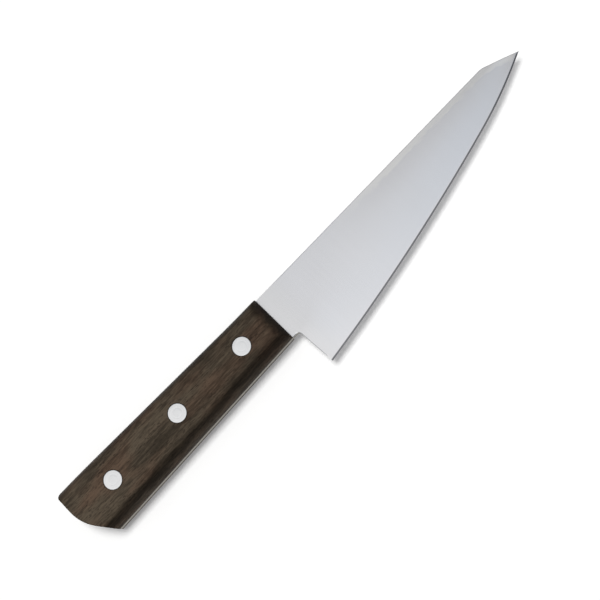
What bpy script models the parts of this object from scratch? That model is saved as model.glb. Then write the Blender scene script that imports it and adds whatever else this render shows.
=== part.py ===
"""Honesuki knife: a full-tang poultry boning knife, lying on its left side.

The steel is one flat piece: a stamped blank whose blade is ground to a
triangular profile with a clipped point, thicker on the right of the edge than
on the left. Two wooden scales sit on the tang, and three two-part rivets go
through all three layers, each a headed pin pressed into a headed socket.

The knife is drawn about a datum where the front of the handle, the line of
rivets and the middle of the steel meet: X runs to the point, Y to the spine
and Z to the right face, which lies uppermost. An empty then carries the datum
to its place over the middle of the knife's footprint.
"""

import math

import bmesh
import bpy
from mathutils import Vector

MM = 0.001
NAME = "honesuki_knife"

# Room between one solid and the next: the glue line, and the rivets' seats
SEAT_GAP = 0.3 * MM

# Steel blank
STEEL_THICKNESS = 2.5 * MM
BLADE_REACH = 151.2 * MM  # handle front to point
SPINE_HEIGHT = 11.45 * MM  # rivet line to spine
POINT_HEIGHT = 5.1 * MM  # rivet line to point
POINT_CLIP_ANGLE = math.radians(22.3)  # spine down to the clipped point
POINT_CLIP_RADIUS = 6.0 * MM
NECK_LENGTH = 3.5 * MM  # handle front to heel
NECK_FILLET = 1.25 * MM
HEEL_DROP = 29.5 * MM  # rivet line down to the heel of the edge
HEEL_LEAN = math.radians(3.2)

# Cutting edge: a chord from heel to point, and how far it sags below that
EDGE_BOW = 3.1 * MM
POINT_SWEEP = 2.7 * MM
POINT_SWEEP_LENGTH = 34.0 * MM

# Grind: a wide convex face on the right, a low one on the left
GRIND_START = 3.6 * MM  # handle front to the first ground steel
GRIND_RUN_IN = 2.4 * MM
GRIND_DEPTH = 0.05 * MM
GRIND_RISE = 40.0 * MM  # the right grind's top climbs from the neck to the spine over this length
POINT_THICKNESS = 1.1 * MM  # spine thickness that the taper reaches at the point
SPINE_FLAT = 2.4 * MM  # unground strip under the spine, right face
LEFT_GRIND_HEIGHT = 15.0 * MM  # edge to the top of the left grind, at the heel
RIGHT_FULLNESS = 2.6  # power of the convex face where it is widest: 1 is a flat wedge
LEFT_FULLNESS = 1.6
EDGE_OFFSET = 0.35 * MM  # edge lies this far left of the middle of the steel
EDGE_THICKNESS = 0.32 * MM  # steel behind the sharpening bevels
RIGHT_BEVEL = 0.7 * MM
LEFT_BEVEL = 0.3 * MM
SPINE_EASE = 0.3 * MM
SPINE_EASE_RUN_IN = 12.0 * MM  # the spine's corners are eased from nothing to full over this length

# Handle, seen from the side
HANDLE_LENGTH = 115.1 * MM
BELLY_FRONT = 11.0 * MM  # rivet line to belly, at the handle front
BELLY_REAR = 14.6 * MM
BACK_REAR = 13.65 * MM  # rivet line to the handle's back, at the butt
BACK_RISE_START = 13.0 * MM  # handle front to where the back begins to rise
BACK_LEVEL_REAR = 12.5 * MM  # butt to where the back is level again
BACK_RADIUS = 600.0 * MM
BUTT_BACK_RADIUS = 3.2 * MM
BUTT_RADIUS = 20.0 * MM
BUTT_TURN = 3.0 * MM  # rivet line down to where the butt turns in
BUTT_SLANT = math.radians(37.0)
BUTT_TOE_RADIUS = 0.5 * MM

# Scales
SCALE_THICKNESS = 8.0 * MM
BELLY_ROUND = 4.7 * MM  # how far each rounding reaches in over the scale's outer face
BACK_ROUND = 4.3 * MM
FRONT_ROUND = 5.5 * MM
SIDE_ROUND_DEPTH = 7.2 * MM  # and how far these three reach down the scale's edge
BUTT_ROUND = 0.6 * MM
THICKEST_ROUND = 0.9  # a rounding takes no more than this share of its scale's thickness

# Rivets
FIRST_RIVET = 17.1 * MM  # handle front to the first rivet
RIVET_PITCH = 38.0 * MM
RIVET_NAMES = ("front", "middle", "rear")
HEAD_DIAMETER = 8.0 * MM
HEAD_THICKNESS = 1.6 * MM
HEAD_CHAMFER = 0.15 * MM
SOCKET_DIAMETER = 5.2 * MM
PIN_DIAMETER = 3.2 * MM
PIN_NOSE = 0.5 * MM
SOCKET_FLOOR = 3.0 * MM  # left face of the handle to the end of the bore
PIN_END_ROOM = 1.0 * MM
RIVET_STEPS = 40

# Room that a cutter takes past what it cuts, and the mesh's steps
CUT_PAST = 2.0 * MM
POINT_PAST = 1.0 * MM
NECK_PLUNGE = 0.6 * MM  # the envelope comes in over this length, ahead of the neck's fillet
ROUND_LIFT = 0.005 * MM  # a rounding's cutter stands off by this, so that it crosses the faces cleanly
ARC_STEP = math.radians(9.0)
ROUND_STEP = math.radians(12.0)
LOW_ROWS = (0.0, 0.15, 0.35, 0.55, 0.78, 1.0)  # rows of a ground face, from the edge to the belly's line
HIGH_ROWS = (0.0, 0.25, 0.5, 0.75, 1.0)  # and from there to the top of the grind
STRAIGHT_SECTIONS = 20
POINT_SECTIONS = 14
ROUND_SMOOTHING = math.radians(25.0)  # bends up to this are shaded smooth on wood and rivets
BLADE_SMOOTHING = math.radians(11.0)  # and on the blade, whose sharpening bevels stay crisp
MERGE = 0.002 * MM

# What the sizes above give
HALF_STEEL = STEEL_THICKNESS / 2
SCALE_FOOT = HALF_STEEL + SEAT_GAP
HALF_HANDLE = SCALE_FOOT + SCALE_THICKNESS
HEEL_X = NECK_LENGTH + (HEEL_DROP - BELLY_FRONT) * math.tan(HEEL_LEAN)

# Finishes: linear colour, roughness and metallic
STEEL_FINISH = ((0.60, 0.60, 0.61), 0.34, 1.0)
WOOD_FINISH = ((0.067, 0.050, 0.037), 0.55, 0.0)
RIVET_FINISH = ((0.74, 0.74, 0.73), 0.40, 1.0)


def clear_scene():
    for obj in list(bpy.data.objects):
        bpy.data.objects.remove(obj, do_unlink=True)


def new_collection(name):
    collection = bpy.data.collections.new(name)
    bpy.context.scene.collection.children.link(collection)
    return collection


def new_material(name, finish):
    colour, roughness, metallic = finish
    material = bpy.data.materials.new(name)
    material.use_nodes = True
    shader = material.node_tree.nodes["Principled BSDF"]
    shader.inputs["Base Color"].default_value = (*colour, 1.0)
    shader.inputs["Roughness"].default_value = roughness
    shader.inputs["Metallic"].default_value = metallic
    return material


def as_cutter(obj):
    obj.hide_render = True
    obj.display_type = "WIRE"
    return obj


def rounded_path(corners):
    """Points through (x, y, radius) corners, each arc tangent to its two sides. A closed outline may
    have a radius at every corner, and an open path has none at its ends."""
    points = []
    for index, (x, y, radius) in enumerate(corners):
        corner = Vector((x, y))
        before = Vector(corners[index - 1][:2])
        after = Vector(corners[(index + 1) % len(corners)][:2])
        if radius == 0:
            points.append(corner)
            continue
        back = (before - corner).normalized()
        ahead = (after - corner).normalized()
        half_angle = back.angle(ahead) / 2
        centre = corner + (back + ahead).normalized() * (radius / math.sin(half_angle))
        start = corner + back * (radius / math.tan(half_angle)) - centre
        sweep = start.angle_signed(corner + ahead * (radius / math.tan(half_angle)) - centre)
        steps = max(3, math.ceil(abs(sweep) / ARC_STEP))
        for step in range(steps + 1):
            turn = -sweep * step / steps
            spoke = Vector(
                (
                    start.x * math.cos(turn) - start.y * math.sin(turn),
                    start.x * math.sin(turn) + start.y * math.cos(turn),
                )
            )
            points.append(centre + spoke)
    return points


def polyline(name, points, dimensions, cyclic, collection):
    curve = bpy.data.curves.new(name, "CURVE")
    curve.dimensions = dimensions
    spline = curve.splines.new("POLY")
    spline.points.add(len(points) - 1)
    for spot, point in zip(spline.points, points):
        spot.co = (point[0], point[1], 0.0, 1.0)
    spline.use_cyclic_u = cyclic
    drawn = bpy.data.objects.new(name, curve)
    collection.objects.link(drawn)
    return drawn


def solid_from_curve(drawn, name, collection):
    """The curve's evaluated form as a closed mesh object in the curve's place."""
    bpy.context.view_layer.update()
    evaluated = drawn.evaluated_get(bpy.context.evaluated_depsgraph_get())
    mesh = bpy.data.meshes.new_from_object(evaluated)
    mesh.name = name
    form = bmesh.new()
    form.from_mesh(mesh)
    bmesh.ops.remove_doubles(form, verts=form.verts, dist=MERGE)
    bmesh.ops.recalc_face_normals(form, faces=form.faces)
    bmesh.ops.triangulate(form, faces=form.faces)
    form.to_mesh(mesh)
    form.free()
    solid = bpy.data.objects.new(name, mesh)
    solid.matrix_world = drawn.matrix_world
    collection.objects.link(solid)
    bpy.data.objects.remove(drawn, do_unlink=True)
    return solid


def plate(name, corners, low, high, collection):
    """A flat plate: an outline filled and extruded between two heights."""
    drawn = polyline(name + "_outline", rounded_path(corners), "2D", True, collection)
    drawn.data.fill_mode = "BOTH"
    drawn.data.extrude = (high - low) / 2
    drawn.location.z = (high + low) / 2
    return solid_from_curve(drawn, name, collection)


def swept(name, profile, path, collection):
    """A profile carried along a flat path: its X lies to the right of the path, and its Y is up."""
    section = polyline(name + "_section", profile, "2D", True, collection)
    drawn = polyline(name + "_path", path, "3D", False, collection)
    drawn.data.twist_mode = "Z_UP"
    drawn.data.bevel_mode = "OBJECT"
    drawn.data.bevel_object = section
    drawn.data.use_fill_caps = True
    solid = solid_from_curve(drawn, name, collection)
    bpy.data.objects.remove(section, do_unlink=True)
    return solid


def turned(name, profile, collection):
    """A body of revolution about Z: the (radius, height) profile runs down its outer side."""
    mesh = bpy.data.meshes.new(name)
    verts = [(radius, 0.0, height) for radius, height in profile]
    mesh.from_pydata(verts, [(i, i + 1) for i in range(len(verts) - 1)], [])
    obj = bpy.data.objects.new(name, mesh)
    collection.objects.link(obj)
    screw = obj.modifiers.new("turn", "SCREW")
    screw.axis = "Z"
    screw.angle = math.tau
    screw.steps = RIVET_STEPS
    screw.render_steps = RIVET_STEPS
    screw.use_merge_vertices = True
    screw.merge_threshold = MERGE
    screw.use_smooth_shade = False
    return obj


def complete(piece, material, smoothing):
    """Apply the piece's modifiers, and shade its gentle bends smooth."""
    bpy.context.view_layer.update()
    evaluated = piece.evaluated_get(bpy.context.evaluated_depsgraph_get())
    mesh = bpy.data.meshes.new_from_object(evaluated)
    mesh.name = piece.name
    piece.modifiers.clear()
    piece.data = mesh
    mesh.shade_smooth()
    mesh.set_sharp_from_angle(angle=smoothing)
    mesh.materials.clear()
    mesh.materials.append(material)
    return piece


def cut(obj, cutter, operation):
    """Cut one solid with another, and weld what the cut leaves a hair apart."""
    boolean = obj.modifiers.new(cutter.name, "BOOLEAN")
    boolean.operation = operation
    boolean.solver = "EXACT"
    boolean.object = cutter
    weld = obj.modifiers.new(cutter.name + "_weld", "WELD")
    weld.merge_threshold = MERGE


def edge_height(x):
    """Height of the cutting edge: its chord, less a parabola and, near the point, a second one."""
    share = (x - HEEL_X) / (BLADE_REACH - HEEL_X)
    sweep = max(0.0, (x - BLADE_REACH + POINT_SWEEP_LENGTH) / POINT_SWEEP_LENGTH)
    chord = -HEEL_DROP + (POINT_HEIGHT + HEEL_DROP) * share
    return chord - 4 * EDGE_BOW * share * (1 - share) - POINT_SWEEP * (share - sweep**2)


def spine_half_thickness(x):
    """Half the steel at the spine, falling in a straight line from the grind's start to the point."""
    full = HALF_STEEL - GRIND_DEPTH
    share = (x - GRIND_START) / (BLADE_REACH - GRIND_START)
    return full + (POINT_THICKNESS / 2 - full) * share


def back_bends():
    """Where the handle's back turns up from the spine's line, and level again. The level stretches
    beside the bends limit their radius."""
    run = HANDLE_LENGTH - BACK_RISE_START - BACK_LEVEL_REAR
    turn = abs(math.atan2(BACK_REAR - SPINE_HEIGHT, run))
    room = min(BACK_RISE_START, BACK_LEVEL_REAR - BUTT_BACK_RADIUS)
    radius = min(BACK_RADIUS, room / math.tan(turn / 2)) if turn else BACK_RADIUS
    return [
        (-BACK_RISE_START, SPINE_HEIGHT, radius),
        (-HANDLE_LENGTH + BACK_LEVEL_REAR, BACK_REAR, radius),
    ]


def butt_bends():
    """Where the handle's end turns down from the back, and in towards the belly."""
    return [
        (-HANDLE_LENGTH, BACK_REAR, BUTT_BACK_RADIUS),
        (-HANDLE_LENGTH, -BUTT_TURN, BUTT_RADIUS),
    ]


def slant_x(y):
    """Place along the knife of the butt's slanted stretch at one height."""
    return -HANDLE_LENGTH - (y + BUTT_TURN) * math.tan(BUTT_SLANT)


def handle_corners():
    """Corners of the handle's side view, from the back of its front end round to the belly."""
    return [
        (0.0, SPINE_HEIGHT, 0.0),
        *back_bends(),
        *butt_bends(),
        (slant_x(-BELLY_REAR), -BELLY_REAR, BUTT_TOE_RADIUS),
        (0.0, -BELLY_FRONT, 0.0),
    ]


def belly_height(x):
    """Height of the handle's belly, a straight line that may run past both ends."""
    share = x / slant_x(-BELLY_REAR)
    return -BELLY_FRONT + (BELLY_FRONT - BELLY_REAR) * share


def blank_corners():
    """Corners of the stamped steel: the tang is the handle's outline, and the blade has spare steel
    below the edge and past the point, which the grind takes away."""
    floor = -HEEL_DROP - CUT_PAST
    clip_x = BLADE_REACH - (SPINE_HEIGHT - POINT_HEIGHT) / math.tan(POINT_CLIP_ANGLE)
    past_x = BLADE_REACH + CUT_PAST
    past_y = POINT_HEIGHT - CUT_PAST * math.tan(POINT_CLIP_ANGLE)
    heel_floor_x = NECK_LENGTH + (-BELLY_FRONT - floor) * math.tan(HEEL_LEAN)
    return [
        (clip_x, SPINE_HEIGHT, POINT_CLIP_RADIUS),
        *handle_corners(),
        (NECK_LENGTH, -BELLY_FRONT, NECK_FILLET),
        (heel_floor_x, floor, 0.0),
        (past_x, floor, 0.0),
        (past_x, past_y, 0.0),
    ]


def between_ends(share):
    """A share kept between 0 and 1."""
    return min(1.0, max(0.0, share))


def grind_top(x, side):
    """Height at which one side's grind runs out into unground steel. On the right it climbs in an
    S from the neck to a strip under the spine, and on the left it rises straight to the point."""
    crest = SPINE_HEIGHT - SPINE_FLAT
    if side > 0:
        share = between_ends((x - GRIND_START) / GRIND_RISE)
        return -BELLY_FRONT + (crest + BELLY_FRONT) * share**2 * (3 - 2 * share)
    share = between_ends((x - HEEL_X) / (BLADE_REACH - HEEL_X))
    at_heel = LEFT_GRIND_HEIGHT - HEEL_DROP
    return at_heel + (crest - at_heel) * share


def ground_half(x, y, side):
    """Distance from the middle of the steel to one ground face: a power curve that rises steeply
    from the shoulder of the sharpening bevel and runs flat into the steel at the grind's top. It is
    flatter where the face is narrower, so that the bevel stays the steepest face up to the point."""
    if side > 0:
        bevel, fullness, widest = RIGHT_BEVEL, RIGHT_FULLNESS, SPINE_HEIGHT - SPINE_FLAT + HEEL_DROP
    else:
        bevel, fullness, widest = LEFT_BEVEL, LEFT_FULLNESS, LEFT_GRIND_HEIGHT
    shoulder = EDGE_THICKNESS * bevel / (RIGHT_BEVEL + LEFT_BEVEL) - side * EDGE_OFFSET
    low = edge_height(x) + bevel
    width = grind_top(x, side) - low
    power = 1 + (fullness - 1) * between_ends(width / (widest - bevel))
    share = between_ends((y - low) / width)
    return shoulder + (spine_half_thickness(x) - shoulder) * (1 - (1 - share) ** power)


def drawn_in(x, height):
    """A height given at the heel, moved up with the edge as the blade narrows to the point."""
    crest = SPINE_HEIGHT - SPINE_FLAT
    share = (height + HEEL_DROP) / (crest + HEEL_DROP)
    return edge_height(x) + share * (crest - edge_height(x))


def side_rows(x, side, low_stock, high_stock):
    """(height, half thickness) points up one side of the grinding envelope, from the shoulder of the
    sharpening bevel to above the spine. Unground stock stands low_stock from the middle of the steel
    below the belly line, and high_stock above it. Where these are None the steel is ground."""
    bevel = RIGHT_BEVEL if side > 0 else LEFT_BEVEL
    shoulder = edge_height(x) + bevel
    under_neck = drawn_in(x, -BELLY_FRONT - NECK_FILLET)
    neck = drawn_in(x, -BELLY_FRONT)
    crest = SPINE_HEIGHT - SPINE_FLAT
    low = [shoulder + (under_neck - shoulder) * part for part in LOW_ROWS]
    high = [neck + (crest - neck) * part for part in HIGH_ROWS]
    rows = [(y, low_stock or ground_half(x, y, side)) for y in low]
    rows += [(y, high_stock or ground_half(x, y, side)) for y in high]
    top = high_stock or spine_half_thickness(x)
    ease = SPINE_EASE * between_ends((x - GRIND_START) / SPINE_EASE_RUN_IN)
    rows.append((SPINE_HEIGHT - SPINE_EASE, top))
    rows.append((SPINE_HEIGHT, top - ease))
    rows.append((BACK_REAR + CUT_PAST, top - ease))
    return rows


def envelope_section(x, low_stock, high_stock):
    """Closed section of the grinding envelope at x: up the right face and down the left."""
    right = [Vector((x, y, half)) for y, half in side_rows(x, 1, low_stock, high_stock)]
    left = [Vector((x, y, -half)) for y, half in side_rows(x, -1, low_stock, high_stock)]
    edge = Vector((x, edge_height(x), -EDGE_OFFSET))
    return [edge, *right, *reversed(left)]


def envelope_sections():
    """Sections from the butt to past the point. Over the tang the envelope stands clear of the blank,
    over the neck it comes in to the blank's faces, and along the blade it is the ground surface,
    with closer sections where the edge sweeps up to the point."""
    clear = HALF_STEEL + CUT_PAST
    before_fillet = NECK_LENGTH - NECK_FILLET
    grind = GRIND_START + GRIND_RUN_IN
    sweep = BLADE_REACH - POINT_SWEEP_LENGTH
    sections = [
        envelope_section(-HANDLE_LENGTH - CUT_PAST, clear, clear),
        envelope_section(before_fillet - NECK_PLUNGE, clear, clear),
        envelope_section(before_fillet, None, clear),
        envelope_section(GRIND_START, None, HALF_STEEL + GRIND_DEPTH),
    ]
    for step in range(STRAIGHT_SECTIONS):
        x = grind + (sweep - grind) * step / STRAIGHT_SECTIONS
        sections.append(envelope_section(x, None, None))
    for step in range(POINT_SECTIONS + 1):
        x = sweep + (BLADE_REACH + POINT_PAST - sweep) * step / POINT_SECTIONS
        sections.append(envelope_section(x, None, None))
    return sections


def make_grinding_envelope(collection):
    """What grinding leaves room for: a loft through unlike sections, from tang to point."""
    form = bmesh.new()
    rings = [[form.verts.new(point) for point in section] for section in envelope_sections()]
    for ring, following in zip(rings, rings[1:]):
        for index in range(len(ring)):
            after = (index + 1) % len(ring)
            form.faces.new((ring[index], following[index], following[after], ring[after]))
    bmesh.ops.triangulate(form, faces=form.faces)
    form.faces.new(rings[0])
    form.faces.new(reversed(rings[-1]))
    mesh = bpy.data.meshes.new("grinding_envelope")
    form.to_mesh(mesh)
    form.free()
    envelope = bpy.data.objects.new("grinding_envelope", mesh)
    collection.objects.link(envelope)
    return as_cutter(envelope)


def rivet_positions():
    return [-(FIRST_RIVET + index * RIVET_PITCH) for index in range(len(RIVET_NAMES))]


def make_rivet_bores(collection):
    """Cutters for the three stepped holes: a plain bore with a counterbore for a head at each end."""
    floor = HALF_HANDLE - HEAD_THICKNESS - SEAT_GAP
    end = HALF_HANDLE + CUT_PAST
    wide = HEAD_DIAMETER / 2 + SEAT_GAP
    narrow = SOCKET_DIAMETER / 2 + SEAT_GAP
    profile = [
        (0.0, end),
        (wide, end),
        (wide, floor),
        (narrow, floor),
        (narrow, -floor),
        (wide, -floor),
        (wide, -end),
        (0.0, -end),
    ]
    bores = []
    for label, x in zip(RIVET_NAMES, rivet_positions()):
        bore = as_cutter(turned(f"{label}_bore", profile, collection))
        bore.location.x = x
        bores.append(bore)
    return bores


def make_round_over(name, reach, depth, path, side, collection):
    """A shaping path: the corner between a scale's outer face and its edge, less a quarter ellipse."""
    depth = min(depth, THICKEST_ROUND * SCALE_THICKNESS)
    steps = max(3, math.ceil(math.radians(90.0) * min(1.0, reach / BACK_ROUND) / ROUND_STEP))
    centre = (ROUND_LIFT - reach, HALF_HANDLE + ROUND_LIFT - depth)
    profile = []
    for step in range(steps + 1):
        angle = math.radians(90.0) * step / steps
        profile.append((centre[0] + reach * math.sin(angle), centre[1] + depth * math.cos(angle)))
    profile.append((CUT_PAST, profile[-1][1]))
    profile.append((CUT_PAST, HALF_HANDLE + CUT_PAST))
    profile.append((profile[0][0], HALF_HANDLE + CUT_PAST))
    profile = [(across, side * up) for across, up in profile]
    return as_cutter(swept(name, profile, path, collection))


def make_round_overs(side, collection):
    """Cutters that round one scale's outer face over: the back, the butt, the belly and the front."""
    hand = "right" if side > 0 else "left"
    ahead = CUT_PAST
    behind = -HANDLE_LENGTH - CUT_PAST
    toe_below = -BELLY_REAR - CUT_PAST
    before_butt = -HANDLE_LENGTH + 2 * BUTT_BACK_RADIUS
    runs = {
        "back": (
            BACK_ROUND,
            SIDE_ROUND_DEPTH,
            [(ahead, SPINE_HEIGHT, 0.0), *back_bends(), (behind, BACK_REAR, 0.0)],
        ),
        "butt": (
            BUTT_ROUND,
            BUTT_ROUND,
            [(before_butt, BACK_REAR, 0.0), *butt_bends(), (slant_x(toe_below), toe_below, 0.0)],
        ),
        "belly": (
            BELLY_ROUND,
            SIDE_ROUND_DEPTH,
            [(behind, belly_height(behind), 0.0), (ahead, belly_height(ahead), 0.0)],
        ),
        "front": (
            FRONT_ROUND,
            SIDE_ROUND_DEPTH,
            [(0.0, -BELLY_FRONT - CUT_PAST, 0.0), (0.0, SPINE_HEIGHT + CUT_PAST, 0.0)],
        ),
    }
    return [
        make_round_over(f"{hand}_{where}_round", reach, depth, rounded_path(path), side, collection)
        for where, (reach, depth, path) in runs.items()
    ]


def make_blade(parts, cutters, bores, material):
    """The steel: the blank, ground, and drilled through the tang."""
    blade = plate("blade_and_tang", blank_corners(), -HALF_STEEL, HALF_STEEL, parts)
    cut(blade, make_grinding_envelope(cutters), "INTERSECT")
    for bore in bores:
        cut(blade, bore, "DIFFERENCE")
    return complete(blade, material, BLADE_SMOOTHING)


def make_scale(side, parts, cutters, bores, material):
    """One handle scale: the handle's outline, rounded over round its outer face and drilled."""
    name = "right_scale" if side > 0 else "left_scale"
    low, high = sorted((side * SCALE_FOOT, side * HALF_HANDLE))
    scale = plate(name, handle_corners(), low, high, parts)
    for cutter in make_round_overs(side, cutters) + bores:
        cut(scale, cutter, "DIFFERENCE")
    return complete(scale, material, ROUND_SMOOTHING)


def make_rivet(label, x, parts, material):
    """A two-part rivet: a headed pin from the right, pressed into a headed socket from the left."""
    head = HEAD_DIAMETER / 2
    under_head = HALF_HANDLE - HEAD_THICKNESS
    mouth = under_head - SEAT_GAP
    bore = PIN_DIAMETER / 2 + SEAT_GAP
    socket = SOCKET_DIAMETER / 2
    floor = -HALF_HANDLE + SOCKET_FLOOR
    nose = floor + PIN_END_ROOM
    shank = PIN_DIAMETER / 2
    pin_profile = [
        (0.0, HALF_HANDLE),
        (head - HEAD_CHAMFER, HALF_HANDLE),
        (head, HALF_HANDLE - HEAD_CHAMFER),
        (head, under_head),
        (shank, under_head),
        (shank, nose + PIN_NOSE),
        (shank - PIN_NOSE / 2, nose),
        (0.0, nose),
    ]
    socket_profile = [
        (0.0, floor),
        (bore, floor),
        (bore, mouth),
        (socket, mouth),
        (socket, -under_head),
        (head, -under_head),
        (head, -HALF_HANDLE + HEAD_CHAMFER),
        (head - HEAD_CHAMFER, -HALF_HANDLE),
        (0.0, -HALF_HANDLE),
    ]
    pieces = []
    for kind, profile in (("pin", pin_profile), ("socket", socket_profile)):
        piece = turned(f"{label}_rivet_{kind}", profile, parts)
        piece.location.x = x
        pieces.append(complete(piece, material, ROUND_SMOOTHING))
    return pieces


def main():
    clear_scene()
    parts = new_collection(NAME)
    cutters = new_collection(NAME + "_cutters")
    steel = new_material("satin_steel", STEEL_FINISH)
    wood = new_material("dark_wood", WOOD_FINISH)
    rivet_metal = new_material("rivet_metal", RIVET_FINISH)

    bores = make_rivet_bores(cutters)
    pieces = [make_blade(parts, cutters, bores, steel)]
    for side in (1, -1):
        pieces.append(make_scale(side, parts, cutters, bores, wood))
    for label, x in zip(RIVET_NAMES, rivet_positions()):
        pieces.extend(make_rivet(label, x, parts, rivet_metal))

    datum = bpy.data.objects.new("knife_datum", None)
    parts.objects.link(datum)
    for obj in pieces + list(cutters.objects):
        obj.parent = datum
    datum.location = (
        (HANDLE_LENGTH - BLADE_REACH) / 2,
        (HEEL_DROP - BACK_REAR) / 2,
        HALF_HANDLE,
    )
    bpy.context.view_layer.update()


main()
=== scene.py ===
"""Honesuki knife: the steel, the wooden handle scales and the rivets as they look, made around the
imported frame, with a studio floor, lights and a camera.

Everything is worked out about a datum where the front of the handle, the line of rivets and the
middle of the steel meet: x runs to the point, y to the spine and z to the right face. The frame
gives the datum's place, and every length is in metres.
"""

import math

import bmesh
import bpy
import numpy as np
from bpy.props import FloatProperty, FloatVectorProperty, PointerProperty
from mathutils import Matrix, Vector


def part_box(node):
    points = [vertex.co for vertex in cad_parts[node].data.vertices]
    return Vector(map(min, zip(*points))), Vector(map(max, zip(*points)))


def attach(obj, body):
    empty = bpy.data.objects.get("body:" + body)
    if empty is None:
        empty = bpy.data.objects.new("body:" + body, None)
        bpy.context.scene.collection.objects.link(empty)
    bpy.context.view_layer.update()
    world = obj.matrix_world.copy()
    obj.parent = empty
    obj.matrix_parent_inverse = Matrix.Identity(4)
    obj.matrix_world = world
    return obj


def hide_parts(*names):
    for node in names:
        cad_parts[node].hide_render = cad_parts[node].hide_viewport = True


bl_info = {
    "name": "Honesuki Knife",
    "version": (1, 0, 0),
    "blender": (4, 5, 0),
    "location": "3D Viewport > Sidebar > Knife",
    "description": "Dresses a full-tang knife in ground steel, dark wood and turned rivets",
    "category": "Add Mesh",
}

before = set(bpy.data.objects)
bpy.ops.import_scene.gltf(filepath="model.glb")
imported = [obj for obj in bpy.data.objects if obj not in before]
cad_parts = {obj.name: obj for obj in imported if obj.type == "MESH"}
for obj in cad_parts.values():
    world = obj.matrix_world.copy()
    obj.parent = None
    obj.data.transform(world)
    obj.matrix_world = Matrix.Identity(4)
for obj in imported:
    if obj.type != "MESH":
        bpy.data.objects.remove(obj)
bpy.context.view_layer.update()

MM = 0.001
RIVET_NAMES = ("front", "middle", "rear")
SIDES = {"right": 1, "left": -1}

# Places and sizes that the frame gives
HANDLE_LOW, HANDLE_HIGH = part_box("right_scale")
STEEL_LOW, STEEL_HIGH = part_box("blade_and_tang")
RIVET_BOXES = {name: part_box(f"{name}_rivet_pin") for name in RIVET_NAMES}
RIVET_CENTRES = {name: (low + high) / 2 for name, (low, high) in RIVET_BOXES.items()}
DATUM = Vector((HANDLE_HIGH.x, RIVET_CENTRES["front"].y, (STEEL_LOW.z + STEEL_HIGH.z) / 2))
RIVET_X = {name: centre.x - DATUM.x for name, centre in RIVET_CENTRES.items()}
HALF_STEEL = (STEEL_HIGH.z - STEEL_LOW.z) / 2
HALF_HANDLE = HANDLE_HIGH.z - DATUM.z
HANDLE_LENGTH = HANDLE_HIGH.x - HANDLE_LOW.x
BLADE_REACH = STEEL_HIGH.x - DATUM.x
HEEL_DROP = DATUM.y - STEEL_LOW.y
BACK_REAR = HANDLE_HIGH.y - DATUM.y
BELLY_REAR = DATUM.y - HANDLE_LOW.y
HEAD_RADIUS = (RIVET_BOXES["front"][1].x - RIVET_BOXES["front"][0].x) / 2

# Fineness of the meshes, as the distance between neighbouring points
COARSE_STEP = 0.75 * MM
FINE_STEP = 0.3 * MM
QUARTER_STEPS = 16  # points round a quarter circle
TURN_STEPS = 96  # points round a rivet
FINE_HEEL = 9.0 * MM  # stretches of the blade that take the fine step
FINE_POINT = 22.0 * MM
BLUNT_POINT = 0.04 * MM  # steel left off the very point
SETTLING_STEPS = 12  # rounds of substitution that find a row's rear end

# Most of the blade's height that a sharpening bevel and an eased corner take, near the point
BEVEL_LIMIT = 0.4
EASE_LIMIT = 0.2

# Other shares and limits
BORDER_LIMIT = 0.15  # most of the steel's thickness that a face falls by at its rear border
EASE_AT_NECK = 0.06  # share of the spine's easing that is there from the handle on
WALL_FACING = 0.2  # most that a wall's normal may lean to the right or left face
FAR_MM = 10.0  # stands for any distance too large to matter

# Roughness where nothing adds to it
PLATE_ROUGHNESS, GROUND_ROUGHNESS, WOOD_ROUGHNESS, HEAD_ROUGHNESS = 0.25, 0.23, 0.40, 0.34

# Angles above which an edge is shaded sharp, and how near a crease a point has to lie
STEEL_SHARP, WOOD_SHARP, METAL_SHARP = (math.radians(degrees) for degrees in (24.0, 40.0, 35.0))
CREASE_REACH = 0.002 * MM

# Noise scales of the wood and of two ragged borders, in waves per metre along x, y and z
FIGURE_SCALE = (28.0, 150.0, 150.0)
FIBRE_SCALE = (180.0, 1500.0, 1500.0)
DRIFT_SCALE = (45.0, 130.0, 130.0)
PORE_SCALE = (620.0, 2600.0, 2600.0)
PORE_PATCH_SCALE = (60.0, 260.0, 260.0)
ROLL_BORDER_SCALE = (110.0, 420.0, 420.0)
STRIP_BORDER_SCALE = (260.0, 420.0, 420.0)

# Tints that multiply a colour: the wood's reddish and greenish drifts, the painted shade on the wood's
# roundings, and the steel's painted lighter and darker reflection bands
REDDISH, GREENISH = (1.22, 0.90, 0.74, 1.0), (0.92, 1.04, 0.95, 1.0)
PAINTED_SHADE_TINT = (0.11, 0.10, 0.09, 1.0)
SPINE_REFLECTION_TINT, BELOW_REFLECTION_TINT = (1.10, 1.09, 1.055, 1.0), (0.965, 0.96, 0.95, 1.0)

# Plain colours
RUBBED_STEEL = (0.70, 0.70, 0.70, 1.0)
WHITE = (1.0, 1.0, 1.0, 1.0)

HORIZON_FADE = (0.34, 0.70)  # sines of the heights between which the pale band round the room ends


def number(name, description, default, **settings):
    return FloatProperty(name=name, description=description, default=default, **settings)


def length(name, description, millimetres):
    """A distance given in millimetres, which the sidebar shows in the scene's units."""
    return number(name, description, millimetres * MM, precision=5, unit="LENGTH")


def angle(name, description, degrees):
    return number(name, description, math.radians(degrees), subtype="ANGLE")


def factor(name, description, default, top=1.0):
    return number(name, description, default, min=0.0, max=top, subtype="FACTOR")


def colour(name, description, default):
    return FloatVectorProperty(
        name=name, description=description, default=default, size=3, min=0.0, max=1.0, subtype="COLOR"
    )


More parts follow.
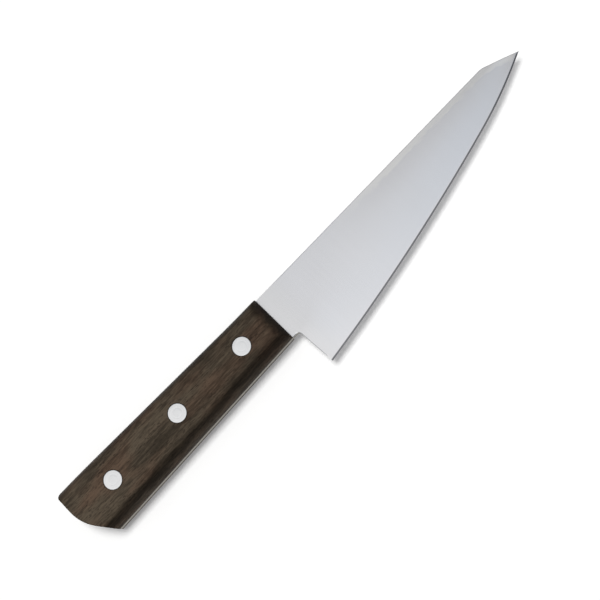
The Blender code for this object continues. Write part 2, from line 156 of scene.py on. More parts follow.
class HandleSizes(bpy.types.PropertyGroup):
    """The handle's outline, its roundings and its wood."""

    belly_front: length("Belly at the Front", "Rivet line down to the belly, at the blade", 11.0)
    back_front: length("Back at the Front", "Rivet line up to the back, at the blade", 11.45)
    back_rise_start: length("Rise Start", "Handle front to where the back begins to rise", 13.0)
    back_level_rear: length("Level Rear", "Butt to where the back is level again", 12.5)
    back_bend: length("Back Bend", "Length over which the back bends at each end of its rise", 14.7)
    butt_back_radius: length("Butt Back Radius", "Corner between the back and the butt", 3.2)
    butt_radius: length("Butt Radius", "Turn of the butt towards the belly", 20.0)
    butt_turn: length("Butt Turn", "Rivet line down to where the butt turns in", 3.0)
    butt_slant: angle("Butt Slant", "Slant of the butt's lower half", 37.0)
    butt_toe_radius: length("Butt Toe Radius", "Corner between the butt and the belly", 0.5)
    front_corner: length("Front Corner", "Softening of the scale's corners beside the blade", 0.2)
    belly_round: length("Belly Rounding", "How far the belly's rounding reaches in", 4.7)
    back_round: length("Back Rounding", "How far the back's rounding reaches in", 4.3)
    front_round: length("Front Rounding", "How far the blade end's rounding reaches in", 5.5)
    side_depth: length("Rounding Depth", "How far these three reach down the scale's edge", 7.2)
    butt_round: length("Butt Rounding", "Radius round the butt", 0.6)
    glue_line: length("Glue Line", "Room between the steel and the wood", 0.03)
    left_inset: length("Left Inset", "How far the left scale's belly stands back from the tang", 0.2)
    light_wood: colour("Light Wood", "Lightest grain", (0.102, 0.076, 0.055))
    dark_wood: colour("Dark Wood", "Darkest grain", (0.039, 0.029, 0.021))
    pores: colour("Pores", "Open pores and their filling", (0.012, 0.009, 0.007))
    front_tone: factor("Front Tone", "Wood's tone at the blade end, darkened by handling", 0.82, 2.0)
    rear_tone: factor("Rear Tone", "Wood's tone at the butt", 0.98, 2.0)


class BladeSizes(bpy.types.PropertyGroup):
    """The blade's outline, its grinds and its steel."""

    point_height: length("Point Height", "Rivet line up to the point", 5.1)
    clip_angle: angle("Clip Angle", "Slope of the clipped point below the spine", 21.3)
    clip_radius: length("Clip Radius", "Rounding between the spine and the clip", 9.0)
    neck_length: length("Neck Length", "Handle front to the heel", 3.5)
    neck_fillet: length("Neck Fillet", "Radius where the heel leaves the neck", 1.25)
    heel_lean: angle("Heel Lean", "Lean of the heel towards the point", 3.2)
    edge_bow: length("Edge Bow", "Sag of the edge below its chord", 3.1)
    point_sweep: length("Point Sweep", "Extra rise of the edge at the point", 2.7)
    sweep_length: length("Sweep Length", "Length of that rise", 34.0)
    grind_start: length("Grind Start", "Handle front to the first ground steel", 3.6)
    grind_run_in: length("Grind Run-in", "Length over which the grind reaches its depth", 14.0)
    grind_depth: length("Grind Depth", "Steel taken off each face by grinding", 0.05)
    grind_rise: length("Grind Rise", "Length over which the right grind climbs to the spine", 40.0)
    spine_flat: length("Spine Flat", "Unground strip under the spine", 2.4)
    left_grind: length("Left Grind", "Height of the left grind at the heel", 15.0)
    point_thickness: length("Point Thickness", "Thickness that the taper reaches at the point", 1.1)
    right_fullness: number(
        "Right Fullness", "Power of the right face's convex curve", 2.6, min=1.0
    )
    left_fullness: number(
        "Left Fullness", "Power of the left face's convex curve", 1.6, min=1.0
    )
    edge_offset: length("Edge Offset", "Edge's distance left of the middle of the steel", 0.35)
    edge_thickness: length("Edge Thickness", "Steel behind the sharpening bevels", 0.32)
    right_bevel: length("Right Bevel", "Height of the right sharpening bevel", 0.7)
    left_bevel: length("Left Bevel", "Height of the left sharpening bevel", 0.3)
    spine_ease: length("Spine Ease", "Rounding of the spine's corners", 0.3)
    ease_run_in: length("Ease Run-in", "Length over which that rounding comes in", 12.0)
    steel: colour("Steel", "Ground steel", (0.60, 0.602, 0.62))
    plate: colour("Plate", "Unground steel beside the handle", (0.605, 0.603, 0.61))
    # The bevel's dark colour is a painted dark reflection.
    bevel: colour("Bevel", "Sharpening bevel", (0.25, 0.25, 0.26))
    # Partly the unpolished walls' own colour, partly a painted dark reflection of the shaded floor.
    cut_steel_and_dark_reflection: colour("Cut Steel", "Stamped walls that were never polished", (0.26, 0.245, 0.21))
    border_ease: length("Border Ease", "Fall of the faces at the heel and under the neck", 0.15)


class RivetSizes(bpy.types.PropertyGroup):
    """The two-part rivets."""

    head_thickness: length("Head Thickness", "Thickness of a head", 1.6)
    head_chamfer: length("Head Chamfer", "Softening of a head's rim", 0.12)
    head_dish: length("Head Dish", "Depth by which a head's rim lies below its middle", 0.05)
    ring_radius: length("Ring Radius", "Radius of the turned ring on a head", 2.2)
    ring_depth: length("Ring Depth", "Depth of that ring", 0.02)
    socket_radius: length("Socket Radius", "Outer radius of the socket's tube", 2.6)
    pin_radius: length("Pin Radius", "Radius of the pin's shank", 1.6)
    pin_room: length("Pin Room", "Room between the pin and its socket", 0.05)
    socket_floor: length("Socket Floor", "Left face of the handle to the end of the bore", 3.0)
    pin_end_room: length("Pin End Room", "Bore's end to the pin's nose", 1.0)
    pin_nose: length("Pin Nose", "Length of the pin's tapered nose", 0.5)
    seat: length("Seat", "Room between a rivet and the wood", 0.1)
    metal: colour("Metal", "Rivet metal", (0.745, 0.745, 0.745))


class StageSizes(bpy.types.PropertyGroup):
    """Floor, light and camera."""

    floor: colour("Floor", "Floor's colour", (0.90, 0.90, 0.89))
    floor_lift: factor("Floor Lift", "Light that the floor adds for direct and reflected rays", 0.17)
    ambient: colour("Ambient", "Light from all round", (0.30, 0.30, 0.31))
    horizon: colour("Horizon", "What the steel reflects from low round the room", (0.62, 0.63, 0.65))
    near_reflection: colour("Near Reflection", "What steel reflects from near overhead", (1.0, 1.0, 1.0))
    far_reflection: colour("Far Reflection", "What it reflects from further round", (0.12, 0.13, 0.15))
    reflection_gain: factor("Reflection Gain", "Strength of the reflected light", 1.355, 2.0)
    reflection_lean: angle("Reflection Lean", "Reflection's middle, from overhead to the edge side", 6.4)
    reflection_back: angle("Reflection Back", "Reflection's middle, from overhead to the butt", 15.6)
    reflection_near: angle("Reflection Near", "Where the near reflection begins to fade", 0.0)
    reflection_far: angle("Reflection Far", "Where the far reflection is reached", 52.7)
    cool_reflection: colour("Cool Reflection", "Tint of what the outer half reflects", (0.86, 0.925, 1.0))
    cool_back: angle("Cool Back", "Middle of that patch, from overhead to the butt", -10.5)
    cool_lean: angle("Cool Lean", "Middle of that patch, from overhead to the edge side", -6.0)
    cool_reach: angle("Cool Reach", "Where that patch has faded", 7.5)
    window_near: angle("Window Near", "Where the reflection begins to end on the edge side", 12.0)
    window_far: angle("Window Far", "Where it has ended", 38.0)
    key_power: number("Key Power", "Power of the soft overhead lamp", 16.0, unit="POWER")
    key_distance: length("Key Distance", "Lamp to the knife", 1500.0)
    key_size: length("Key Size", "Side of the lamp", 420.0)
    key_tilt: angle("Key Tilt", "Lamp's tilt from overhead, towards the spine", 3.0)
    camera_distance: length("Camera Distance", "Camera to the knife", 600.0)
    camera_lean: angle("Camera Lean", "Camera's lean from overhead, towards the edge", 15.0)
    camera_turn: angle("Camera Turn", "Turn of the knife in the picture", 46.03)
    camera_along: length("Camera Along", "Handle front to the middle of the picture", 13.16)
    camera_across: length("Camera Across", "Rivet line to the middle of the picture", -1.66)
    view_width: length("View Width", "Width of the picture at the knife", 249.32)


# Numbers on arrays


def s_curve(x, start, run):
    """3s² − 2s³, where s is the share of the run that x has covered, kept between 0 and 1."""
    share = np.clip((x - start) / run, 0.0, 1.0)
    return share * share * (3.0 - 2.0 * share)


def blend(low, high, share):
    return low + (high - low) * share


def even(start, end, step):
    """Evenly spaced values from start to end, both included, at most a step apart."""
    return np.linspace(start, end, max(2, math.ceil(abs(end - start) / step - 1e-6) + 1))


def joined(*runs):
    """Runs of values end to end, where each starts with the last value of the one before."""
    return np.concatenate([runs[0], *(run[1:] for run in runs[1:])])


def quarter_offsets(reach):
    """Distances from a rounded side, r(1 − sin t), at even turns t from the side to the flat."""
    turn = np.linspace(math.pi / 2, 0.0, QUARTER_STEPS + 1)
    return reach * (1.0 - np.sin(turn))


# The handle's outline


def belly(x, handle):
    """Height of the belly: a straight line from the toe to the handle's front, then level."""
    toe_x = -HANDLE_LENGTH + (BELLY_REAR - handle.butt_turn) * math.tan(handle.butt_slant)
    return -handle.belly_front - (BELLY_REAR - handle.belly_front) * np.maximum(0.0, x / toe_x)


def back(x, handle):
    """Height of the back: level, a straight rise and level again, with a parabola at each bend,
    so that the slope changes evenly along it."""
    start = -handle.back_rise_start
    end = -HANDLE_LENGTH + handle.back_level_rear
    slope = (BACK_REAR - handle.back_front) / (start - end)
    half = handle.back_bend / 2
    rise = np.zeros_like(x)
    for corner, sign in ((start, 1.0), (end, -1.0)):
        past = corner - x
        bend = np.where(past > half, past, np.maximum(0.0, past + half) ** 2 / (4.0 * half))
        rise = rise + sign * slope * bend
    return handle.back_front + rise


def corner_left(y, corner, directions, radius):
    """Left side of the arc that rounds a corner between two straight lines, at each height."""
    first, second = (np.array(d) / np.linalg.norm(d) for d in directions)
    half = math.acos(float(first @ second)) / 2
    middle = first + second
    centre = np.array(corner) + middle / np.linalg.norm(middle) * radius / math.sin(half)
    return centre[0] - np.sqrt(np.maximum(0.0, radius**2 - (y - centre[1]) ** 2))


def butt(y, handle):
    """Rear end of the handle at each height: a slanted line, an arc, a straight stretch and a corner
    arc, each of which is the outline where it lies furthest inside."""
    slant = handle.butt_slant
    upright = np.full_like(y, -HANDLE_LENGTH)
    slanted = -HANDLE_LENGTH - (y + handle.butt_turn) * math.tan(slant)
    reach = handle.butt_radius * math.tan(slant / 2)
    turn_top = reach - handle.butt_turn
    turn_low = -handle.butt_turn - reach * math.cos(slant)
    turn_x = -HANDLE_LENGTH + handle.butt_radius
    arc = turn_x - np.sqrt(np.maximum(0.0, handle.butt_radius**2 - (y - turn_top) ** 2))
    out = np.where(y > turn_top, upright, np.where(y > turn_low, arc, slanted))
    corner = (-HANDLE_LENGTH, BACK_REAR)
    radius = handle.butt_back_radius
    rounded = corner_left(y, corner, ((0.0, -1.0), (1.0, 0.0)), radius)
    out = np.where(y > BACK_REAR - radius, rounded, out)
    toe = (-HANDLE_LENGTH + (BELLY_REAR - handle.butt_turn) * math.tan(slant), -BELLY_REAR)
    belly_run = (-toe[0], BELLY_REAR - handle.belly_front)
    up_slant = (-math.sin(slant), math.cos(slant))
    radius = handle.butt_toe_radius
    rounded = corner_left(y, toe, (up_slant, belly_run), radius)
    return np.where(rounded > out, np.where(y < -BELLY_REAR + radius, rounded, out), out)


# The blade's outline


def heel_x(blade, handle):
    return blade.neck_length + (HEEL_DROP - handle.belly_front) * math.tan(blade.heel_lean)


def edge(x, blade, handle):
    """Height of the cutting edge: its chord, less a parabola and, near the point, a second one."""
    heel = heel_x(blade, handle)
    share = (x - heel) / (BLADE_REACH - heel)
    sweep = np.maximum(0.0, (x - BLADE_REACH + blade.sweep_length) / blade.sweep_length)
    chord = blend(-HEEL_DROP, blade.point_height, share)
    return chord - 4 * blade.edge_bow * share * (1 - share) - blade.point_sweep * (share - sweep**2)


def spine(x, blade, handle):
    """Height of the spine: level, a circular arc and the straight clip down to the point."""
    slope = math.tan(blade.clip_angle)
    corner = BLADE_REACH - (handle.back_front - blade.point_height) / slope
    start = corner - blade.clip_radius * math.tan(blade.clip_angle / 2)
    along = np.clip(x - start, 0.0, blade.clip_radius * math.sin(blade.clip_angle))
    arc = handle.back_front - blade.clip_radius + np.sqrt(blade.clip_radius**2 - along**2)
    clip = handle.back_front - (x - corner) * slope
    return np.where(x - start > along, clip, arc)


def spine_ease(x, blade):
    """Radius of the spine's eased corners, which comes in along an S-curve from the handle."""
    share = s_curve(x, blade.grind_start, blade.ease_run_in)
    return blend(EASE_AT_NECK, 1.0, share) * blade.spine_ease


def spine_half(x, blade):
    """Half the steel's thickness above the grind: full in the handle, and a straight taper from the
    grind's start to the point, reached over the run-in along an S-curve."""
    share = (x - blade.grind_start) / (BLADE_REACH - blade.grind_start)
    ground = blend(HALF_STEEL - blade.grind_depth, blade.point_thickness / 2, np.maximum(0.0, share))
    return blend(HALF_STEEL, ground, s_curve(x, blade.grind_start, blade.grind_run_in))


def grind_top(x, side, blade, handle):
    """Height at which a side's grind runs out: on the right an S-curve from the neck to a strip under
    the spine, and on the left a straight rise to the point."""
    crest = handle.back_front - blade.spine_flat
    if side > 0:
        return blend(-handle.belly_front, crest, s_curve(x, blade.grind_start, blade.grind_rise))
    heel = heel_x(blade, handle)
    share = np.clip((x - heel) / (BLADE_REACH - heel), 0.0, 1.0)
    return blend(blade.left_grind - HEEL_DROP, crest, share)


def ground_half(x, y, side, blade, handle):
    """Distance from the middle of the steel to a ground face. From the shoulder of the sharpening
    bevel it follows 1 − (1 − s)ᵖ up to the grind's top, with a power p that falls towards 1 as the
    face narrows, and between the edge and the shoulder it is a flat bevel."""
    bevel = blade.right_bevel if side > 0 else blade.left_bevel
    fullness = blade.right_fullness if side > 0 else blade.left_fullness
    highest = handle.back_front - blade.spine_flat + HEEL_DROP if side > 0 else blade.left_grind
    share = bevel / (blade.right_bevel + blade.left_bevel)
    shoulder = blade.edge_thickness * share - side * blade.edge_offset
    rise = y - edge(x, blade, handle)
    width = grind_top(x, side, blade, handle) - edge(x, blade, handle) - bevel
    power = 1 + (fullness - 1) * np.clip(width / (highest - bevel), 0.0, 1.0)
    up = np.clip((rise - bevel) / width, 0.0, 1.0)
    face = shoulder + (spine_half(x, blade) - shoulder) * (1 - (1 - up) ** power)
    apex = -side * blade.edge_offset
    return np.where(rise < bevel, blend(apex, shoulder, np.clip(rise / bevel, 0.0, 1.0)), face)


# Meshes from arrays


def index_grid(start, shape):
    """Numbers from start on, laid out on a grid of that shape."""
    return start + np.arange(shape[0] * shape[1]).reshape(shape)


def quads(grid, flip=False):
    """The four-cornered faces between neighbouring rows and columns of an index grid."""
    corners = (grid[:-1, :-1], grid[1:, :-1], grid[1:, 1:], grid[:-1, 1:])
    faces = np.stack(corners, axis=-1).reshape(-1, 4)
    return faces[:, ::-1] if flip else faces


def band(first, second, flip=False):
    """The faces between two rows of points."""
    return quads(np.stack((first, second), axis=-1), flip)


def new_object(name, data):
    """An object in the scene's own collection."""
    made = bpy.data.objects.new(name, data)
    bpy.context.scene.collection.objects.link(made)
    return made


def new_piece(name, points, faces):
    """A mesh object from points about the datum. Faces are arrays of equal or unequal length."""
    placed = np.asarray(points, dtype=np.float64) + np.array(DATUM)
    mesh = bpy.data.meshes.new(name)
    mesh.from_pydata(placed.tolist(), [], [face for group in faces for face in group.tolist()])
    mesh.update()
    return new_object(name, mesh)


def gather(items, name, kind, width=1):
    """One property of every item, with a row for each item where it has several values."""
    values = np.empty(len(items) * width, dtype=kind)
    items.foreach_get(name, values)
    return values if width == 1 else values.reshape(-1, width)


def points_of(mesh):
    """The mesh's points about the datum, one row each."""
    return gather(mesh.vertices, "co", np.float32, 3).astype(np.float64) - np.array(DATUM)


def store(mesh, name, values, domain="POINT"):
    """Keep a value for each point or face, for the materials to read."""
    layer = mesh.attributes.new(name, "FLOAT", domain)
    layer.data.foreach_set("value", np.asarray(values, dtype=np.float32))


def turned(name, profile, centre_x, side=1):
    """A body of revolution: each (radius, height) point of the profile, which starts and ends on the
    axis, goes round it as (r cos t, r sin t, h). A UV map holds the radius, and the turn's share."""
    radius, height = np.array(profile).T
    turn = np.linspace(0.0, math.tau, TURN_STEPS, endpoint=False)
    ring = slice(1, -1)
    grid = np.stack(
        (
            centre_x + np.outer(radius[ring], np.cos(turn)),
            np.outer(radius[ring], np.sin(turn)),
            np.outer(height[ring] * side, np.ones(TURN_STEPS)),
        ),
        axis=-1,
    )
    rows = grid.shape[0]
    ends = [(centre_x, 0.0, height[0] * side), (centre_x, 0.0, height[-1] * side)]
    numbers = index_grid(0, (rows, TURN_STEPS))
    numbers = np.concatenate((numbers, numbers[:, :1]), axis=1)
    first, last = rows * TURN_STEPS, rows * TURN_STEPS + 1
    flip = side < 0
    top = np.stack((np.full(TURN_STEPS, first), numbers[0, :-1], numbers[0, 1:]), axis=-1)
    low = np.stack((np.full(TURN_STEPS, last), numbers[-1, 1:], numbers[-1, :-1]), axis=-1)
    if flip:
        top, low = top[:, ::-1], low[:, ::-1]
    points = np.concatenate((grid.reshape(-1, 3), ends))
    piece = new_piece(name, points, (quads(numbers, flip), top, low))
    place = points_of(piece.data)[gather(piece.data.loops, "vertex_index", np.int32)]
    across = np.hypot(place[:, 0] - centre_x, place[:, 1])
    around = np.arctan2(place[:, 1], place[:, 0] - centre_x) / math.tau + 0.5
    turning = np.stack((across / HEAD_RADIUS, around), axis=-1)
    layer = piece.data.uv_layers.new(name="turning")
    layer.data.foreach_set("uv", turning.ravel().astype(np.float32))
    return piece


def bore_through(piece, profile):
    """Take a turned profile out of a piece at each rivet."""
    cutters = [turned(f"{piece.name}_bore_{n}", profile, x) for n, x in enumerate(RIVET_X.values())]
    for cutter in cutters:
        cut = piece.modifiers.new(cutter.name, "BOOLEAN")
        cut.operation = "DIFFERENCE"
        cut.solver = "EXACT"
        cut.object = cutter
    bpy.context.view_layer.update()
    evaluated = piece.evaluated_get(bpy.context.evaluated_depsgraph_get())
    mesh = bpy.data.meshes.new_from_object(evaluated)
    mesh.name = piece.name
    piece.modifiers.clear()
    piece.data = mesh
    for cutter in cutters:
        bpy.data.objects.remove(cutter, do_unlink=True)


def shade(mesh, sharp_angle, creases=None):
    """Shade smooth, with edges sharp past an angle, and where both ends are marked as a crease."""
    mesh.shade_smooth()
    mesh.set_sharp_from_angle(angle=sharp_angle)
    if creases is None:
        return
    ends = gather(mesh.edges, "vertices", np.int32, 2)
    sharp = gather(mesh.edges, "use_edge_sharp", bool) | creases[ends].all(axis=1)
    mesh.edges.foreach_set("use_edge_sharp", sharp)


def dress(piece, material, slot, *nodes):
    """Give a finished piece its material, hang it on the root body, and hide the frame's parts that it
    stands for.
    """
    piece.data.materials.clear()
    piece.data.materials.append(material)
    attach(piece, "root")
    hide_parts(*nodes)


# Shader nodes


def add(tree, kind, inputs=None, **settings):
    """One node, with its settings and its inputs. An input is a value or another node's output."""
    made = tree.nodes.new(kind)
    for name, value in settings.items():
        setattr(made, name, value)
    for key, value in (inputs or {}).items():
        if isinstance(value, bpy.types.NodeSocket):
            tree.links.new(value, made.inputs[key])
        else:
            made.inputs[key].default_value = value
    return made


def calculate(tree, operation, first, *others):
    """A Math node's result, carried through one more node for each further value."""
    for other in others:
        first = add(tree, "ShaderNodeMath", {0: first, 1: other}, operation=operation).outputs[0]
    return first


def ramp(tree, value, low, high, to_low=0.0, to_high=1.0):
    """A value taken smoothly from one range to another, and kept within it."""
    inputs = {"Value": value, 1: low, 2: high, 3: to_low, 4: to_high}
    return add(tree, "ShaderNodeMapRange", inputs, interpolation_type="SMOOTHSTEP").outputs[0]


def mix(tree, share, first, second, blend_type="MIX"):
    """A mix of two colours."""
    inputs = {0: share, 6: first, 7: second}
    made = add(tree, "ShaderNodeMix", inputs, data_type="RGBA", blend_type=blend_type)
    return made.outputs[2]


def tinted(tree, share, base, tint):
    """A colour of which a share is multiplied by a tint."""
    return mix(tree, share, base, mix(tree, 1.0, base, tint, "MULTIPLY"))


def scaled(tree, base, value):
    """A colour times one number."""
    grey = add(tree, "ShaderNodeCombineColor", {0: value, 1: value, 2: value}).outputs[0]
    return mix(tree, 1.0, base, grey, "MULTIPLY")


def noise(tree, place, scale, detail=2.0, roughness=0.5):
    """Noise from 0 to 1. Its scale is one number, or one for each axis."""
    if isinstance(scale, tuple):
        place = add(tree, "ShaderNodeMapping", {"Vector": place, "Scale": scale}).outputs[0]
        scale = 1.0
    inputs = {"Vector": place, "Scale": scale, "Detail": detail, "Roughness": roughness}
    return add(tree, "ShaderNodeTexNoise", inputs).outputs["Fac"]


def unsettled(tree, value, wobble, reach):
    """A value that a noise moves up and down by half the reach."""
    offset = calculate(tree, "MULTIPLY", calculate(tree, "SUBTRACT", wobble, 0.5), reach)
    return calculate(tree, "ADD", value, offset)


def new_group(name, inputs, outputs):
    """An empty shader node group, with its input and output sockets. An input's default says what it
    is: a number, a colour of four values or, where it is None or has three, a vector."""
    group = bpy.data.node_groups.new(name, "ShaderNodeTree")
    for label, default in inputs.items():
        kind = {1: "Float", 3: "Vector", 4: "Color"}[3 if default is None else np.size(default)]
        socket = group.interface.new_socket(name=label, in_out="INPUT", socket_type=f"NodeSocket{kind}")
        if default is not None:
            socket.default_value = default
    for label, kind in outputs.items():
        group.interface.new_socket(name=label, in_out="OUTPUT", socket_type=f"NodeSocket{kind}")
    return group, group.nodes.new("NodeGroupInput").outputs, group.nodes.new("NodeGroupOutput").inputs


def grain_group(name):
    """Wood: broad figure, fibre streaks, reddish and greenish drifts, and short dark pores that all
    run along x. The height is low in the pores."""
    group, given, out = new_group(
        name,
        {
            "Vector": None,
            "Light": (0.1, 0.07, 0.05, 1.0),
            "Dark": (0.04, 0.03, 0.02, 1.0),
            "Pore": (0.01, 0.01, 0.01, 1.0),
            "Drift": 0.35,
            "Pore Amount": 0.6,
        },
        {"Color": "Color", "Pores": "Float", "Height": "Float"},
    )
    place = given["Vector"]
    figure = noise(group, place, FIGURE_SCALE, 3.0, 0.55)
    fibre = noise(group, place, FIBRE_SCALE, 3.0, 0.6)
    weighted = (calculate(group, "MULTIPLY", *pair) for pair in ((figure, 0.46), (fibre, 0.54)))
    light = ramp(group, calculate(group, "ADD", *weighted), 0.36, 0.64)
    wood = mix(group, light, given["Dark"], given["Light"])
    drift = ramp(group, noise(group, place, DRIFT_SCALE, 1.0), 0.35, 0.65)
    wood = tinted(group, given["Drift"], wood, mix(group, drift, REDDISH, GREENISH))
    dashes = ramp(group, noise(group, place, PORE_SCALE, 1.0), 0.56, 0.68)
    patches = ramp(group, noise(group, place, PORE_PATCH_SCALE, 1.0), 0.3, 0.7, 0.35, 1.0)
    pores = calculate(group, "MULTIPLY", dashes, patches)
    share = calculate(group, "MULTIPLY", pores, given["Pore Amount"])
    group.links.new(mix(group, share, wood, given["Pore"]), out["Color"])
    group.links.new(pores, out["Pores"])
    fine = calculate(group, "MULTIPLY", fibre, 0.3)
    group.links.new(calculate(group, "SUBTRACT", fine, pores), out["Height"])
    return group


def lines_group(name):
    """Fine scratches that abrasive leaves along one direction: two noises drawn out by the given
    scale, whose sum is a height and whose slow part is a mask."""
    inputs = {"Vector": None, "Scale": (6000.0, 120.0, 120.0)}
    group, given, out = new_group(name, inputs, {"Height": "Float", "Mask": "Float"})
    drawn = {0: given["Vector"], 1: given["Scale"]}
    drawn = add(group, "ShaderNodeVectorMath", drawn, operation="MULTIPLY").outputs[0]
    slower = add(group, "ShaderNodeVectorMath", {0: drawn, "Scale": 0.27}, operation="SCALE").outputs[0]
    fine = noise(group, drawn, 1.0, 2.0, 0.6)
    broad = noise(group, slower, 1.0, 1.0)
    half = calculate(group, "MULTIPLY", broad, 0.5)
    group.links.new(calculate(group, "ADD", fine, half), out["Height"])
    group.links.new(broad, out["Mask"])
    return group


def handling_group(name):
    """Traces of use: soft patches where hands and cloths have passed, as a mask around zero."""
    group, given, out = new_group(name, {"Vector": None, "Size": 40.0, "Amount": 0.05}, {"Mask": "Float"})
    patches = noise(group, given["Vector"], given["Size"], 3.0, 0.6)
    centred = calculate(group, "SUBTRACT", patches, 0.5)
    group.links.new(calculate(group, "MULTIPLY", centred, given["Amount"]), out["Mask"])
    return group


def wear_and_shade_group(name):
    """Edge wear, and the painted shade round the rivets: a distance from an edge made into a mask that
    noise breaks up.
    """
    inputs = {"Vector": None, "Distance": 1.0, "Reach": 0.5, "Breakup": 0.5}
    group, given, out = new_group(name, inputs, {"Mask": "Float"})
    broken = noise(group, given["Vector"], 900.0, 3.0, 0.65)
    distance = unsettled(group, given["Distance"], broken, given["Breakup"])
    group.links.new(ramp(group, distance, 0.0, given["Reach"], 1.0, 0.0), out["Mask"])
    return group


GROUP_MAKERS = {
    "wood_grain": grain_group,
    "abrasive_lines": lines_group,
    "handling": handling_group,
    "edge_wear_and_shade": wear_and_shade_group,
}


def use_group(tree, name, inputs):
    """Place a shared group, which is built the first time that it is asked for."""
    group = bpy.data.node_groups.get(name) or GROUP_MAKERS[name](name)
    return add(tree, "ShaderNodeGroup", inputs, node_tree=group).outputs


def new_material(name, metallic=0.0):
    """A material, with its node tree and the inputs of its Principled shader."""
    material = bpy.data.materials.new(name)
    material.use_nodes = True
    shader = material.node_tree.nodes["Principled BSDF"].inputs
    shader["Metallic"].default_value = metallic
    return material, material.node_tree, shader


def coordinates(tree):
    return add(tree, "ShaderNodeTexCoord").outputs


def attribute(tree, name):
    return add(tree, "ShaderNodeAttribute", attribute_name=name).outputs["Fac"]


def rgba(triple):
    return (*triple, 1.0)


def finish_shader(tree, shader, base, rough, height, strength, distance):
    """Link a colour, a roughness and, through a bump, a height."""
    tree.links.new(base, shader["Base Color"])
    tree.links.new(rough, shader["Roughness"])
    bump = add(tree, "ShaderNodeBump", {"Height": height, "Strength": strength, "Distance": distance})
    tree.links.new(bump.outputs[0], shader["Normal"])


def wood_material(name, handle, offset):
    """Dark open-grained wood under a thin oil finish, with the grain along the handle. It is darker
    towards the blade, has painted shade on its roundings, and has painted shade in the gaps round the
    rivets."""
    material, tree, shader = new_material(name)
    place = coordinates(tree)["Object"]
    spot = add(tree, "ShaderNodeMapping", {"Vector": place, "Location": offset}).outputs[0]
    light, dark, pores = (rgba(c) for c in (handle.light_wood, handle.dark_wood, handle.pores))
    grain = use_group(tree, "wood_grain", {"Vector": spot, "Light": light, "Dark": dark, "Pore": pores})
    hands = use_group(tree, "handling", {"Vector": spot, "Size": 60.0, "Amount": 0.22})
    crease, rivets, roll = (attribute(tree, mask) for mask in ("crease_mm", "rivet_mm", "roll"))
    rim = use_group(tree, "edge_wear_and_shade", {"Vector": spot, "Distance": crease, "Reach": 0.9})
    worn = mix(tree, calculate(tree, "MULTIPLY", rim["Mask"], 0.25), grain["Color"], light)
    along = add(tree, "ShaderNodeSeparateXYZ", {0: place}).outputs["X"]
    tone = ramp(tree, along, HANDLE_LOW.x, HANDLE_HIGH.x, handle.rear_tone, handle.front_tone)
    worn = scaled(tree, worn, tone)
    # Painted shade on the roundings: the roll mask darkens the wood by a tint, and less so right at the
    # rim.
    uneven = unsettled(tree, roll, noise(tree, spot, ROLL_BORDER_SCALE, 2.0), 0.5)
    darkened = ramp(tree, uneven, -0.15, 0.5, 0.0, 0.82)
    rim_lightened = ramp(tree, uneven, 0.68, 1.0, 1.0, 0.25)
    worn = tinted(tree, calculate(tree, "MULTIPLY", darkened, rim_lightened), worn, PAINTED_SHADE_TINT)
    # Painted shade in the gap round each rivet head, in the pores' colour.
    rivet_gap_shade = {"Vector": spot, "Distance": rivets, "Reach": 0.5, "Breakup": 0.3}
    rivet_gap_shade = use_group(tree, "edge_wear_and_shade", rivet_gap_shade)["Mask"]
    worn = mix(tree, calculate(tree, "MULTIPLY", rivet_gap_shade, 0.8), worn, pores)
    open_pores = calculate(tree, "MULTIPLY", grain["Pores"], 0.2)
    rolled = ramp(tree, roll, 0.0, 1.0, 0.0, 0.25)
    rough = calculate(tree, "ADD", WOOD_ROUGHNESS, hands["Mask"], open_pores, rolled)
    finish_shader(tree, shader, worn, rough, grain["Height"], 0.35, 0.00004)
    shader["Specular IOR Level"].default_value = 0.06
    return material


